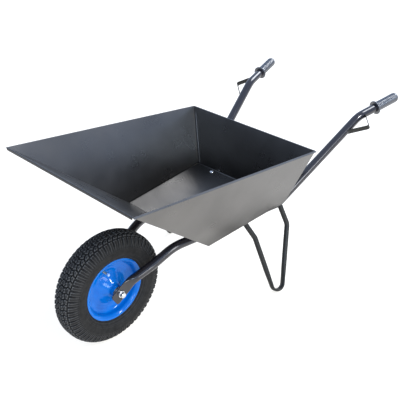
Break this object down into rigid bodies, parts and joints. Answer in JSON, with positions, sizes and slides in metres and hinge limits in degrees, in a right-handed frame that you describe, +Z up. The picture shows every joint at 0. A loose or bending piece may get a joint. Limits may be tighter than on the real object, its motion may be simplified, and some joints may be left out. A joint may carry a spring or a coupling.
{
  "type": "wheelbarrow",
  "caption": "Builder's wheelbarrow: flared sheet-steel tray on bent tube handles with V legs, knuckle guards, ribbed grips and a pneumatic wheel that spins.",
  "frame": {"origin": "on the ground, under the middle of the barrow's overall box", "axes": "+X from the wheel towards the grips, +Y to the right of a person at the grips, +Z up"},
  "size_m": [1.4202, 0.6492, 0.6561],
  "materials": {
    "tray_paint": "satin dark graphite paint",
    "frame_paint": "gloss blue-black paint",
    "leg_paint": "satin black paint",
    "rim_paint": "gloss blue paint",
    "tyre_rubber": "matte black rubber",
    "grip_plastic": "satin black ribbed plastic",
    "zinc": "bright zinc plate",
    "bearing_steel": "ground steel",
    "valve_brass": "dull brass",
    "valve_cap": "pale blue plastic"
  },
  "bodies": {
    "frame": {"tray_pan": "tray_paint", "tray_side_left": "tray_paint", "tray_side_right": "tray_paint", "tray_bolt_left": "zinc", "tray_bolt_right": "zinc", "tray_washer_left": "zinc", "tray_washer_right": "zinc", "tray_nut_left": "zinc", "tray_nut_right": "zinc", "cross_bar_front": "frame_paint", "cross_bar_rear": "frame_paint", "handle_tube_left": "frame_paint", "handle_tube_right": "frame_paint", "knuckle_guard_left": "frame_paint", "knuckle_guard_right": "frame_paint", "grip_left": "grip_plastic", "grip_right": "grip_plastic", "leg_left": "leg_paint", "leg_right": "leg_paint", "axle_bolt": "zinc", "axle_nut": "zinc", "axle_washer_left": "zinc", "axle_washer_right": "zinc", "axle_spacer_left": "zinc", "axle_spacer_right": "zinc", "axle_sleeve": "zinc", "bearing_inner_race_left": "bearing_steel", "bearing_inner_race_right": "bearing_steel"},
    "wheel": {"tyre": "tyre_rubber", "rim_left": "rim_paint", "rim_right": "rim_paint", "hub_tube": "rim_paint", "bearing_outer_race_left": "bearing_steel", "bearing_outer_race_right": "bearing_steel", "valve_stem": "valve_brass", "valve_cap": "valve_cap"}
  },
  "joints": [
    {"name": "wheel_spin", "type": "hinge", "parent": "frame", "child": "wheel", "pos_m": [-0.51013, 0, 0.2], "axis": [0, 1, 0], "continuous": true}
  ]
}
